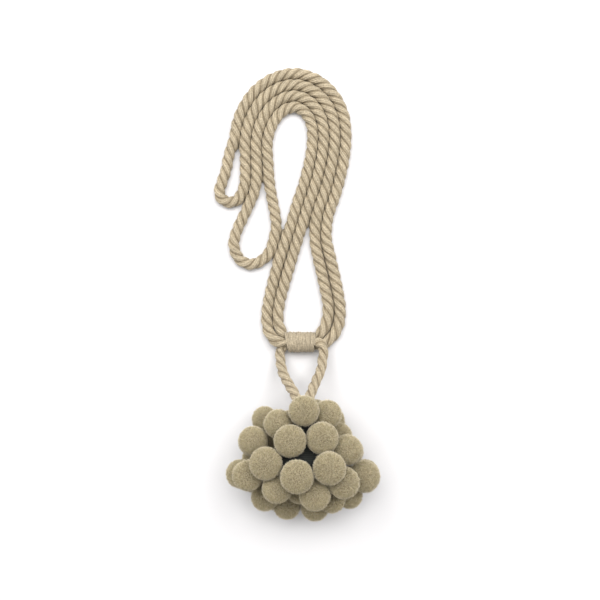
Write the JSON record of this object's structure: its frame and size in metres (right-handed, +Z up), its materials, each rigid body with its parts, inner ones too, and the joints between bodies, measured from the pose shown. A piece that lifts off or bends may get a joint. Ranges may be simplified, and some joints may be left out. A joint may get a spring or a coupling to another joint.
{
  "type": "curtain tieback",
  "caption": "Twisted rope curtain tieback with a doubled embrace, end loops, a whipped yarn binding and a tassel of clipped pompoms, lying flat.",
  "frame": {"origin": "on the surface the tieback lies on, under the middle of its bounding box", "axes": "+Z up from the surface, +Y along the tieback from the tassel towards the arch of the rope, +X across it"},
  "size_m": [0.1376, 0.3791, 0.107],
  "materials": {
    "rope": "soft twisted yarn with a low sheen",
    "binding_yarn": "fine wound yarn, ribbed",
    "core_yarn": "dark matt yarn",
    "pompom_pile": "dense clipped pile, matt with light tips"
  },
  "bodies": {
    "root": {"embrace_rope": "rope", "binding": "binding_yarn", "tassel_cord": "rope", "tassel_core": "core_yarn", "pompom_01": "pompom_pile", "pompom_02": "pompom_pile", "pompom_03": "pompom_pile", "pompom_04": "pompom_pile", "pompom_05": "pompom_pile", "pompom_06": "pompom_pile", "pompom_07": "pompom_pile", "pompom_08": "pompom_pile", "pompom_09": "pompom_pile", "pompom_10": "pompom_pile", "pompom_11": "pompom_pile", "pompom_12": "pompom_pile", "pompom_13": "pompom_pile", "pompom_14": "pompom_pile", "pompom_15": "pompom_pile", "pompom_16": "pompom_pile", "pompom_17": "pompom_pile", "pompom_18": "pompom_pile", "pompom_19": "pompom_pile", "pompom_20": "pompom_pile", "pompom_21": "pompom_pile", "pompom_22": "pompom_pile", "pompom_23": "pompom_pile", "pompom_24": "pompom_pile", "pompom_25": "pompom_pile", "pompom_26": "pompom_pile", "pompom_27": "pompom_pile", "pompom_28": "pompom_pile", "pompom_29": "pompom_pile", "pompom_30": "pompom_pile", "pompom_31": "pompom_pile", "pompom_32": "pompom_pile", "pompom_33": "pompom_pile", "pompom_34": "pompom_pile", "pompom_35": "pompom_pile", "pompom_36": "pompom_pile", "pompom_37": "pompom_pile", "pompom_38": "pompom_pile", "pompom_39": "pompom_pile", "pompom_40": "pompom_pile", "pompom_41": "pompom_pile", "pompom_42": "pompom_pile"}
  },
  "joints": []
}
